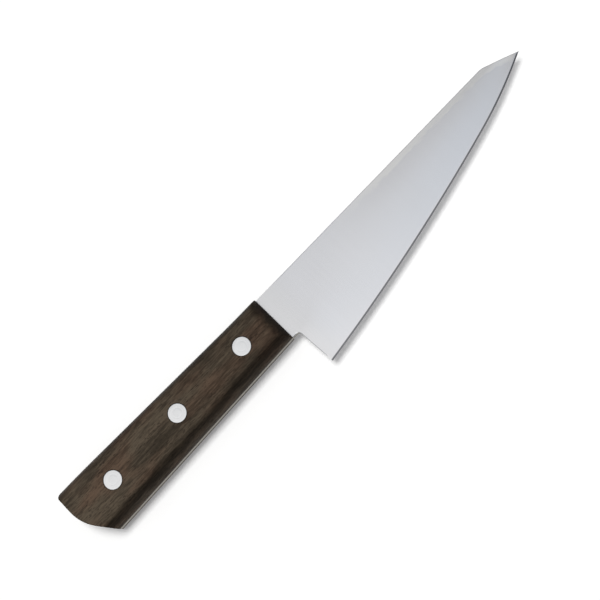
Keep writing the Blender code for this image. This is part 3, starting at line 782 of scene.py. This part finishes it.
def steel_material(name, blade):
    """Satin steel: ground faces with fine scratches from spine to edge, plainer plate beside the
    handle, a sharpening bevel painted darker as a painted dark reflection, and walls where it was cut
    out that are rougher unpolished steel painted dark with a painted dark reflection. On the outer half
    of the right face, a painted lighter reflection band with a ragged border lies under the spine, and
    a painted darker reflection band below it."""
    material, tree, shader = new_material(name, 1.0)
    spot = coordinates(tree)["Object"]
    lines = use_group(tree, "abrasive_lines", {"Vector": spot, "Scale": (7000.0, 90.0, 90.0)})
    hands = use_group(tree, "handling", {"Vector": spot, "Size": 28.0, "Amount": 0.06})
    masks = ("ground", "honed", "spine_mm", "outer", "cut")
    ground, honed, below, outer, cut = (attribute(tree, mask) for mask in masks)
    wear = use_group(tree, "edge_wear_and_shade", {"Vector": spot, "Distance": below, "Reach": 0.5})["Mask"]
    base = mix(tree, ground, rgba(blade.plate), rgba(blade.steel))
    # Painted reflection bands on the outer half of the right face: lighter under the spine, darker below
    # it.
    border = unsettled(tree, below, noise(tree, spot, STRIP_BORDER_SCALE, 3.0, 0.65), 5.0)
    darker_reflection_band = calculate(tree, "MULTIPLY", outer, ramp(tree, below, 3.0, 14.0, 1.0, 0.0))
    strip = calculate(tree, "MULTIPLY", outer, ramp(tree, border, 1.8, 3.4, 1.0, 0.0))
    base = tinted(tree, darker_reflection_band, base, BELOW_REFLECTION_TINT)
    base = tinted(tree, strip, base, SPINE_REFLECTION_TINT)
    base = scaled(tree, base, ramp(tree, lines["Mask"], 0.3, 0.7, 0.994, 1.006))
    # Painted dark reflection on the sharpening bevel.
    base = mix(tree, ramp(tree, honed, 0.45, 0.55), base, rgba(blade.bevel))
    base = mix(tree, calculate(tree, "MULTIPLY", wear, 0.2), base, RUBBED_STEEL)
    # The cut walls: unpolished steel, darkened further by a painted dark reflection.
    base = mix(tree, cut, base, rgba(blade.cut_steel_and_dark_reflection))
    finish = ramp(tree, ground, 0.0, 1.0, PLATE_ROUGHNESS, GROUND_ROUGHNESS)
    rough = calculate(tree, "ADD", finish, hands["Mask"], calculate(tree, "MULTIPLY", cut, 0.25))
    finish_shader(tree, shader, base, rough, lines["Height"], 0.04, 0.00001)
    return material


def rivet_material(name, rivet):
    """Turned rivet metal: fine rings about the axis, read from the radius in the UV map."""
    material, tree, shader = new_material(name, 1.0)
    place = coordinates(tree)
    lines = use_group(tree, "abrasive_lines", {"Vector": place["UV"], "Scale": (70.0, 6.0, 0.0)})
    hands = use_group(tree, "handling", {"Vector": place["Object"], "Size": 300.0, "Amount": 0.15})
    base = scaled(tree, rgba(rivet.metal), ramp(tree, lines["Mask"], 0.3, 0.7, 0.93, 1.0))
    rough = calculate(tree, "ADD", HEAD_ROUGHNESS, hands["Mask"])
    finish_shader(tree, shader, base, rough, lines["Height"], 0.2, 0.00001)
    return material


# Pieces


def heel_border(blade, handle):
    """Points (x, y) up the blade's rear border: from the shoulder of the bevel up the leaning heel,
    round the fillet and straight up across the neck to below the spine's eased corner. The second
    result is how many points lie below the neck."""
    radius, lean = blade.neck_fillet, blade.heel_lean
    centre_x = blade.neck_length + radius * math.tan(lean) - radius / math.cos(lean)
    centre_y = -handle.belly_front - radius
    tangent_y = centre_y + radius * math.sin(lean)
    heel_y = even(-HEEL_DROP + blade.right_bevel, tangent_y, COARSE_STEP)
    heel = blade.neck_length - (heel_y + handle.belly_front) * math.tan(lean)
    turn = np.linspace(math.pi / 2 - lean, 0.0, QUARTER_STEPS // 2 + 1)[1:]
    arc_x, arc_y = centre_x + radius * np.sin(turn), centre_y + radius * np.cos(turn)
    top = handle.back_front - float(spine_ease(np.array(centre_x), blade))
    close = top - np.array([1.6, 1.1, 0.7, 0.4, 0.2, 0.08, 0.0]) * MM
    first = -handle.belly_front + 0.25 * MM
    neck_y = joined(np.array([-handle.belly_front, first]), even(first, close[0], COARSE_STEP), close)[1:]
    border_x = np.concatenate((heel, arc_x, np.full(len(neck_y), centre_x)))
    border_y = np.concatenate((heel_y, arc_y, neck_y))
    return np.stack((border_x, border_y), axis=-1), len(heel_y) + len(arc_y) - 1


def blade_stations():
    """Shares of the way from the heel to the point, closer together near both ends."""
    near = even(0.0, FINE_HEEL, FINE_STEP)
    middle = even(FINE_HEEL, BLADE_REACH - FINE_POINT, COARSE_STEP)
    tip = even(BLADE_REACH - FINE_POINT, BLADE_REACH, FINE_STEP)
    along = joined(near, middle, tip)
    return along / along[-1]


def blade_plan(blade, handle):
    """Plan of the blade, (x, y) for each station and row. A row starts on the heel's border and runs
    to the point at a constant share of the height between the bevel's shoulder and the spine's eased
    corner, with the bevel's rows below it and the corner's above it."""
    border, below_neck = heel_border(blade, handle)
    left_x, left_y = border.T

    def limits(x):
        """Heights of the shoulder and of the eased corner's start, drawn together at the point."""
        low, high = edge(x, blade, handle), spine(x, blade, handle)
        ease = np.minimum(spine_ease(x, blade), EASE_LIMIT * (high - low))
        return low + np.minimum(blade.right_bevel, BEVEL_LIMIT * (high - low)), high - ease

    shoulder, corner = limits(left_x)
    share = (left_y - shoulder) / (corner - shoulder)
    tip_x = BLADE_REACH - BLUNT_POINT
    along = blade_stations()[:, None]
    x = left_x + (tip_x - left_x) * along
    shoulder, corner = limits(x)
    y = shoulder + (corner - shoulder) * share
    bevel_share = np.array([0.0, 0.25, 3 / 7, 0.7])
    heel_now = heel_x(blade, handle)
    heel_slope = math.tan(blade.heel_lean)
    bevel_left = heel_now - bevel_share * blade.right_bevel * heel_slope
    bevel_x = bevel_left + (tip_x - bevel_left) * along
    low = edge(bevel_x, blade, handle)
    bevel_y = low + (limits(bevel_x)[0] - low) * bevel_share
    turn = np.linspace(0.0, math.pi / 2, 5)[1:]
    corner_x = np.repeat(x[:, -1:], len(turn), axis=1)
    ease = (spine(corner_x, blade, handle) - limits(corner_x)[1]) * np.sin(turn)
    corner_y = limits(corner_x)[1] + ease
    plan_x = np.concatenate((bevel_x, x, corner_x), axis=1)
    plan_y = np.concatenate((bevel_y, y, corner_y), axis=1)
    return plan_x, plan_y, len(bevel_share) + below_neck, len(turn)


def steel_faces(x, y, side, eased, blade, handle):
    """Distance of one face from the middle of the steel on a plan. On the rows of the spine's eased
    corner it falls away as a quarter circle, r(1 − cos t)."""
    z = ground_half(x, y, side, blade, handle)
    turn = np.linspace(0.0, math.pi / 2, eased + 1)[1:]
    tall = y[:, -1:] - y[:, -1 - eased : -eased]
    z[:, -eased:] = z[:, -1 - eased : -eased] - tall * (1.0 - np.cos(turn))
    return side * z


def tang_plan(blade, handle, first_x, first_y):
    """Plan of the tang: the neck's rows carried back to the butt, each at a constant share of the
    height between belly and back. A row's rear end is found by repeated substitution."""
    share = (first_y + handle.belly_front) / (handle.back_front + handle.belly_front)
    rear_x = np.full_like(first_y, -HANDLE_LENGTH)
    for _ in range(SETTLING_STEPS):
        rear_y = blend(belly(rear_x, handle), back(rear_x, handle), share)
        rear_x = butt(rear_y, handle)
    steps = even(0.0, HANDLE_LENGTH, COARSE_STEP * 1.5)
    along = (steps / steps[-1])[:, None]
    x = first_x + (rear_x - first_x) * along
    y = blend(belly(x, handle), back(x, handle), share)
    y[0] = first_y
    return x, y


def make_steel(blade, handle, rivet, material):
    """Blade and tang in one closed skin. Right and left faces share a plan, and walls join them along
    the edge, heel, neck, belly, butt and spine."""
    plan_x, plan_y, neck, eased = blade_plan(blade, handle)
    faces = {side: steel_faces(plan_x, plan_y, side, eased, blade, handle) for side in (1, -1)}
    thickness = faces[1][0, : neck + 1] - faces[-1][0, : neck + 1]
    for side in (1, -1):
        faces[side][0, : neck + 1] -= side * np.minimum(blade.border_ease, BORDER_LIMIT * thickness)
    tang_x, tang_y = tang_plan(blade, handle, plan_x[0, neck:], plan_y[0, neck:])
    tang_z = {side: np.tile(faces[side][0, neck:], (len(tang_x), 1)) for side in (1, -1)}
    columns = plan_x.shape[1]
    points, grids, tangs = [], {}, {}
    count = 0
    for side in (1, -1):
        points.append(np.stack((plan_x, plan_y, faces[side]), axis=-1).reshape(-1, 3))
        grids[side] = index_grid(count, plan_x.shape)
        count += plan_x.size
        points.append(np.stack((tang_x, tang_y, tang_z[side]), axis=-1)[1:].reshape(-1, 3))
        behind = index_grid(count, (len(tang_x) - 1, columns - neck))
        tangs[side] = np.concatenate((grids[side][:1, neck:], behind))
        count += behind.size
    grids[-1][:, 0] = grids[1][:, 0]
    right, left, tang_right, tang_left = grids[1], grids[-1], tangs[1], tangs[-1]
    skin = [
        quads(right),
        quads(left, flip=True),
        quads(tang_right, flip=True),
        quads(tang_left),
        band(right[:, -1], left[:, -1]),
        band(tang_right[:, -1], tang_left[:, -1], flip=True),
        band(tang_right[:, 0], tang_left[:, 0]),
        band(tang_right[-1], tang_left[-1]),
        band(right[0, 1 : neck + 1], left[0, 1 : neck + 1]),
        band(right[-1, 1:], left[-1, 1:], flip=True),
        np.array([[right[0, 0], right[0, 1], left[0, 1]]]),
        np.array([[right[-1, 0], left[-1, 1], right[-1, 1]]]),
    ]
    piece = new_piece("steel", np.concatenate(points), skin)
    drop_loose(piece.data)
    radius = rivet.socket_radius + rivet.seat
    depth = 2 * HALF_STEEL
    bore_through(piece, [(0.0, depth), (radius, depth), (radius, -depth), (0.0, -depth)])
    finish_steel(piece.data, blade, handle)
    dress(piece, material, "blade_steel", "blade_and_tang")


def drop_loose(mesh):
    """Remove points that no face uses."""
    form = bmesh.new()
    form.from_mesh(mesh)
    bmesh.ops.delete(form, geom=[v for v in form.verts if not v.link_faces], context="VERTS")
    form.to_mesh(mesh)
    form.free()


def finish_steel(mesh, blade, handle):
    """Creases and the masks that the steel's material reads. ground rises from 0 to 1 along the
    grind's run-in, and outer from 0 to 1 towards the right face's outer half, where it places the
    painted reflection bands. honed falls from 1 at the edge to a half at the bevel's shoulder and places
    the bevel's painted dark reflection. spine_mm is the distance below the spine in millimetres, and cut
    is 1 on walls."""
    x, y, z = points_of(mesh).T
    low, high = edge(x, blade, handle), spine(x, blade, handle)
    rise = y - low
    bevel = np.minimum(blade.right_bevel, BEVEL_LIMIT * np.maximum(high - low, 1e-6))
    bladed = x > blade.neck_length
    creases = (np.abs(rise - bevel) < CREASE_REACH) | (rise < CREASE_REACH)
    shade(mesh, STEEL_SHARP, creases & bladed)
    store(mesh, "ground", s_curve(x, blade.grind_start, blade.grind_run_in))
    store(mesh, "outer", np.where(z > 0, s_curve(x, blade.grind_rise, blade.grind_rise), 0.0))
    store(mesh, "honed", np.where(bladed, np.clip(1.0 - 0.5 * rise / bevel, 0.0, 1.0), 0.0))
    store(mesh, "spine_mm", np.where(x > 0, (high - y) / MM, FAR_MM))
    normals = gather(mesh.polygons, "normal", np.float32, 3)
    store(mesh, "cut", np.abs(normals[:, 2]) < WALL_FACING, "FACE")


def rounded_drop(distance, reach, depth):
    """Fall of a quarter ellipse, h − h√(1 − (1 − d/r)²), at a distance d inside a rounded side. Its
    reach r is over the face, and its depth h is down the side."""
    inside = np.clip(1.0 - distance / reach, 0.0, 1.0)
    return depth * (1.0 - np.sqrt(1.0 - inside**2))


def scale_plan(handle):
    """Plan of a handle scale, (x, y) for each column along it and row across it, with rows and
    columns gathered where its outer face is rounded."""
    from_belly = quarter_offsets(handle.belly_round)
    from_back = quarter_offsets(handle.back_round)[::-1]
    middle = even(0.0, handle.back_front + handle.belly_front, COARSE_STEP)[1:-1]
    middle = middle / (handle.back_front + handle.belly_front)
    from_butt = quarter_offsets(handle.butt_round)[::2]
    from_front = quarter_offsets(handle.front_round)[::-1]
    along = even(0.0, HANDLE_LENGTH, COARSE_STEP)[1:-1] / HANDLE_LENGTH

    def row_heights(x):
        """Heights of all the rows, where each row has its own x."""
        low, high = belly(x, handle), back(x, handle)
        a, b = len(from_belly), len(from_back)
        y = np.empty_like(x)
        y[..., :a] = low[..., :a] + from_belly
        y[..., -b:] = high[..., -b:] - from_back
        foot = low[..., a:-b] + handle.belly_round
        head = high[..., a:-b] - handle.back_round
        y[..., a:-b] = blend(foot, head, middle)
        return y

    count = len(from_belly) + len(middle) + len(from_back)
    rear = np.full(count, -HANDLE_LENGTH)
    for _ in range(SETTLING_STEPS):
        rear = butt(row_heights(rear), handle)
    front_y = row_heights(np.zeros(count))
    reach = np.minimum(front_y + handle.belly_front, handle.back_front - front_y)
    front = -rounded_drop(reach, handle.front_corner, handle.front_corner)
    inner_rear = rear + handle.butt_round
    inner_front = front - handle.front_round
    x = np.concatenate(
        (
            rear + from_butt[:, None],
            inner_rear + (inner_front - inner_rear) * along[:, None],
            front - from_front[:, None],
        )
    )
    return x, row_heights(x)


def scale_drop(x, y, handle):
    """How far the outer face lies below the flat: the falls of all four roundings, joined by a power
    sum (aⁿ + bⁿ)^(1/n) that softens the lines where two of them meet."""
    slope = np.gradient(butt(y[0], handle), y[0])
    lean = 1.0 / np.sqrt(1.0 + slope**2)
    falls = (
        rounded_drop(y - belly(x, handle), handle.belly_round, handle.side_depth),
        rounded_drop(back(x, handle) - y, handle.back_round, handle.side_depth),
        rounded_drop(-x, handle.front_round, handle.side_depth),
        rounded_drop((x - butt(y, handle)) * lean, handle.butt_round, handle.butt_round),
    )
    sharpness = 9.0
    return sum(fall**sharpness for fall in falls) ** (1 / sharpness)


def make_scale(name, side, handle, rivet, material, node):
    """One handle scale: a rounded outer face over a flat foot, with walls between them, drilled for
    the rivets."""
    x, y = scale_plan(handle)
    top = HALF_HANDLE - scale_drop(x, y, handle)
    foot = HALF_STEEL + handle.glue_line
    if side < 0:
        low, high = belly(x, handle), back(x, handle)
        y = y + handle.left_inset * (high - y) / (high - low)
    grid = index_grid(0, x.shape)
    rim = np.concatenate((grid[:-1, 0], grid[-1, :-1], grid[:0:-1, -1], grid[0, :0:-1]))
    rim_points = np.stack((x.ravel()[rim], y.ravel()[rim]), axis=-1)
    rim_top = top.ravel()[rim]
    levels = np.linspace(0.0, 1.0, 5)[1:]
    wall_z = rim_top + (foot - rim_top) * levels[:, None]
    wall = np.concatenate((np.tile(rim_points, (len(levels), 1)), wall_z.reshape(-1, 1)), axis=1)
    walls = np.concatenate((rim[None, :], index_grid(x.size, (len(levels), len(rim)))))
    walls = np.concatenate((walls, walls[:, :1]), axis=1)
    points = np.concatenate((np.stack((x, y, top), axis=-1).reshape(-1, 3), wall))
    points[:, 2] *= side
    flip = side < 0
    base = walls[-1, :-1][None, :]
    skin = (quads(grid, flip), quads(walls, not flip), base if flip else base[:, ::-1])
    piece = new_piece(name, points, skin)
    bore_through(piece, bore_profile(rivet))
    shade(piece.data, WOOD_SHARP)
    finish_wood(piece.data, handle)
    dress(piece, material, "handle_wood", node)


def bore_profile(rivet):
    """Stepped hole for a rivet: a plain bore with a counterbore for a head at each end."""
    wide, narrow = HEAD_RADIUS + rivet.seat, rivet.socket_radius + rivet.seat
    end, floor = HALF_HANDLE + 1.0 * MM, HALF_HANDLE - rivet.head_thickness - rivet.seat
    upper = [(0.0, end), (wide, end), (wide, floor), (narrow, floor)]
    return upper + [(radius, -height) for radius, height in reversed(upper)]


def finish_wood(mesh, handle):
    """Masks that the wood's material reads. roll is 0 where a rounding starts, 1 at its rim and below
    0 on the flat, and smaller along the back and at the blade; it places the painted shade on the
    roundings and their rougher finish. The left scale gets no painted shade, with roll 0 all over.
    crease_mm says how far apart the two strongest roundings fall: nothing on the lines where they meet,
    and large on the flat. rivet_mm is the distance to the nearest rivet head, which places the painted
    shade round the heads. The last two are in millimetres."""
    x, y, z = points_of(mesh).T
    reaches = np.array([handle.belly_round, handle.back_round, handle.front_round])[:, None]
    inside = np.stack((y - belly(x, handle), back(x, handle) - y, -x))
    falls = rounded_drop(inside, reaches, handle.side_depth)
    # How strongly the painted shade falls on the belly, back and front roundings; the left scale gets
    # none.
    painted_shade_weights = np.array([1.0, 0.5, 0.62])[:, None] * float(z.max() > -z.min())
    store(mesh, "roll", (np.clip(1.0 - inside / reaches, -0.5, 1.0) * painted_shade_weights).max(axis=0))
    centres = np.array([*RIVET_X.values()])[:, None]
    store(mesh, "rivet_mm", (np.hypot(x - centres, y).min(axis=0) - HEAD_RADIUS) / MM)
    falls.sort(axis=0)
    store(mesh, "crease_mm", np.where(falls[1] > 0.05 * MM, (falls[2] - falls[1]) / MM, FAR_MM))


def head_profile(rivet):
    """(radius, height) points from the middle of a head to its rim: a shallow dish with a turned ring
    round it, and a rounded rim."""
    radius = np.linspace(0.0, HEAD_RADIUS - rivet.head_chamfer, 40)
    dish = rivet.head_dish * (radius / HEAD_RADIUS) ** 2
    ring_width = 0.18 * MM
    ring = rivet.ring_depth * np.exp(-(((radius - rivet.ring_radius) / ring_width) ** 2))
    height = HALF_HANDLE - dish - ring
    turn = np.linspace(0.0, math.pi / 2, 6)[1:]
    rim_r = HEAD_RADIUS - rivet.head_chamfer * (1 - np.sin(turn))
    rim_z = height[-1] - rivet.head_chamfer * (1 - np.cos(turn))
    return list(zip(np.concatenate((radius, rim_r)), np.concatenate((height, rim_z))))


def make_rivet(label, rivet, material):
    """A headed pin from the right, in a headed socket from the left."""
    x = RIVET_X[label]
    head = head_profile(rivet)
    under = HALF_HANDLE - rivet.head_thickness
    floor = -HALF_HANDLE + rivet.socket_floor
    nose = floor + rivet.pin_end_room
    bore = rivet.pin_radius + rivet.pin_room
    mouth = under - rivet.pin_room
    shank = rivet.pin_radius
    pin = head + [
        (HEAD_RADIUS, under),
        (shank, under),
        (shank, nose + rivet.pin_nose),
        (shank - rivet.pin_nose / 2, nose),
        (0.0, nose),
    ]
    socket = head + [
        (HEAD_RADIUS, under),
        (rivet.socket_radius, under),
        (rivet.socket_radius, -mouth),
        (bore, -mouth),
        (bore, -floor),
        (0.0, -floor),
    ]
    for kind, profile, side in (("pin", pin, 1), ("socket", socket, -1)):
        piece = turned(f"{label}_{kind}", profile, x, side)
        shade(piece.data, METAL_SHARP)
        dress(piece, material, "rivet_metal", f"{label}_rivet_{kind}")


# Stage


def ray_kinds(tree):
    """1 for camera rays and 0 for others, and 1 for rays that a surface mirrors or lets through."""
    path = add(tree, "ShaderNodeLightPath").outputs
    mirrored = calculate(tree, "MAXIMUM", path["Is Glossy Ray"], path["Is Transmission Ray"])
    return path["Is Camera Ray"], mirrored


def make_floor(stage):
    half = 3.0
    corners = np.array([(-half, -half), (half, -half), (half, half), (-half, half)])
    points = np.column_stack((corners, np.full(4, -DATUM.z)))
    floor = new_piece("floor", points, (np.array([[0, 1, 2, 3]]),))
    material, tree, shader = new_material("floor")
    shader["Base Color"].default_value = rgba(stage.floor)
    shader["Roughness"].default_value = 1.0
    shader["Specular IOR Level"].default_value = 0.0
    shader["Emission Color"].default_value = WHITE
    seen = calculate(tree, "MAXIMUM", *ray_kinds(tree))
    tree.links.new(calculate(tree, "MULTIPLY", seen, stage.floor_lift), shader["Emission Strength"])
    floor.data.materials.append(material)


def leaning(across, along):
    """Direction from overhead, tilted by one angle towards the edge and by another towards the butt."""
    return Vector((-math.tan(along), -math.tan(across), 1.0)).normalized()


def facing(tree, direction, towards):
    """Cosine of the angle between two directions."""
    inputs = {0: direction, 1: towards}
    return add(tree, "ShaderNodeVectorMath", inputs, operation="DOT_PRODUCT").outputs["Value"]


def make_world(stage):
    """Light from all round that is white to the camera. Reflections fade from a near colour to a far
    one with the angle from a direction near overhead, end sooner towards the edge side, have a cool
    patch, and show a pale band low round the room."""
    world = bpy.data.worlds.new("studio")
    bpy.context.scene.world = world
    world.use_nodes = True
    tree = world.node_tree
    direction = coordinates(tree)["Generated"]
    nearness = facing(tree, direction, leaning(stage.reflection_lean, stage.reflection_back))
    share = ramp(tree, nearness, math.cos(stage.reflection_far), math.cos(stage.reflection_near))
    aside = facing(tree, direction, (0.0, -1.0, 0.0))
    window = ramp(tree, aside, math.sin(stage.window_near), math.sin(stage.window_far), 1.0, 0.0)
    near, far = (Vector(c) * stage.reflection_gain for c in (stage.near_reflection, stage.far_reflection))
    reflected = mix(tree, calculate(tree, "MULTIPLY", share, window), rgba(far), rgba(near))
    within = facing(tree, direction, leaning(stage.cool_lean, stage.cool_back))
    cool = ramp(tree, within, math.cos(stage.cool_reach), 1.0)
    reflected = tinted(tree, cool, reflected, rgba(stage.cool_reflection))
    height = add(tree, "ShaderNodeSeparateXYZ", {0: direction}).outputs["Z"]
    low_round = ramp(tree, height, *HORIZON_FADE, 1.0, 0.0)
    reflected = mix(tree, low_round, reflected, rgba(stage.horizon))
    seen, mirrored = ray_kinds(tree)
    light = mix(tree, mirrored, rgba(stage.ambient), reflected)
    tree.links.new(mix(tree, seen, light, WHITE), tree.nodes["Background"].inputs["Color"])


def make_lamp(stage):
    """A square softbox near overhead. It stays out of reflections, which show the world's light."""
    data = bpy.data.lights.new("key", "AREA")
    data.shape = "SQUARE"
    data.size = stage.key_size
    data.energy = stage.key_power
    lamp = new_object("key", data)
    offset = leaning(-stage.key_tilt, 0.0) * stage.key_distance
    lamp.location = DATUM + offset
    lamp.rotation_euler = (-offset).to_track_quat("-Z", "Y").to_euler()
    lamp.visible_glossy = False


def make_camera(stage):
    """A camera that leans from overhead towards the edge, and turns the knife in the picture."""
    backwards = leaning(stage.camera_lean, 0.0)
    along = Vector((1.0, 0.0, 0.0))
    across = backwards.cross(along)
    turn = stage.camera_turn
    right = along * math.cos(turn) - across * math.sin(turn)
    up = along * math.sin(turn) + across * math.cos(turn)
    data = bpy.data.cameras.new("camera")
    data.sensor_width = 36.0
    data.lens = data.sensor_width * stage.camera_distance / stage.view_width
    camera = new_object("camera", data)
    target = DATUM + Vector((stage.camera_along, stage.camera_across, 0.0))
    place = target + backwards * stage.camera_distance
    camera.matrix_world = Matrix.Translation(place) @ Matrix((right, up, backwards)).transposed().to_4x4()
    bpy.context.scene.camera = camera
    bpy.context.scene.view_settings.view_transform = "Standard"


# Operators and sidebar


class KNIFE_OT_steel(bpy.types.Operator):
    """Make the blade and tang"""

    bl_idname = "knife.steel"
    bl_label = "Steel"

    def execute(self, context):
        scene = context.scene
        material = steel_material("satin_steel", scene.knife_blade)
        make_steel(scene.knife_blade, scene.knife_handle, scene.knife_rivets, material)
        return {"FINISHED"}


class KNIFE_OT_scales(bpy.types.Operator):
    """Make both handle scales"""

    bl_idname = "knife.scales"
    bl_label = "Handle Scales"

    def execute(self, context):
        handle, rivet = context.scene.knife_handle, context.scene.knife_rivets
        offsets = {"right": (0.0, 0.0, 0.0), "left": (0.31, 0.17, 0.05)}
        for hand, side in SIDES.items():
            material = wood_material(f"dark_wood_{hand}", handle, offsets[hand])
            make_scale(f"{hand}_wood", side, handle, rivet, material, f"{hand}_scale")
        return {"FINISHED"}


class KNIFE_OT_rivets(bpy.types.Operator):
    """Make the three two-part rivets"""

    bl_idname = "knife.rivets"
    bl_label = "Rivets"

    def execute(self, context):
        rivet = context.scene.knife_rivets
        material = rivet_material("turned_metal", rivet)
        for label in RIVET_NAMES:
            make_rivet(label, rivet, material)
        return {"FINISHED"}


class KNIFE_OT_stage(bpy.types.Operator):
    """Make the floor, the light and the camera"""

    bl_idname = "knife.stage"
    bl_label = "Stage"

    def execute(self, context):
        stage = context.scene.knife_stage
        make_floor(stage)
        make_world(stage)
        make_lamp(stage)
        make_camera(stage)
        return {"FINISHED"}


class KNIFE_PT_sidebar(bpy.types.Panel):
    bl_label = "Honesuki Knife"
    bl_space_type = "VIEW_3D"
    bl_region_type = "UI"
    bl_category = "Knife"

    def draw(self, context):
        for title, group, operator in SECTIONS:
            box = self.layout.box()
            box.label(text=title)
            sizes = getattr(context.scene, group)
            for name in type(sizes).__annotations__:
                box.prop(sizes, name)
            box.operator(operator)


SECTIONS = (
    ("Steel", "knife_blade", "knife.steel"),
    ("Handle", "knife_handle", "knife.scales"),
    ("Rivets", "knife_rivets", "knife.rivets"),
    ("Stage", "knife_stage", "knife.stage"),
)
GROUPS = {
    "knife_blade": BladeSizes,
    "knife_handle": HandleSizes,
    "knife_rivets": RivetSizes,
    "knife_stage": StageSizes,
}
TOOLS = (KNIFE_OT_steel, KNIFE_OT_scales, KNIFE_OT_rivets, KNIFE_OT_stage, KNIFE_PT_sidebar)


def register():
    for kind in (*GROUPS.values(), *TOOLS):
        bpy.utils.register_class(kind)
    for name, group in GROUPS.items():
        setattr(bpy.types.Scene, name, PointerProperty(type=group))


def unregister():
    for name in GROUPS:
        delattr(bpy.types.Scene, name)
    for kind in reversed((*GROUPS.values(), *TOOLS)):
        bpy.utils.unregister_class(kind)


def main():
    register()
    bpy.ops.knife.stage()
    bpy.ops.knife.steel()
    bpy.ops.knife.scales()
    bpy.ops.knife.rivets()


if __name__ == "__main__":
    main()
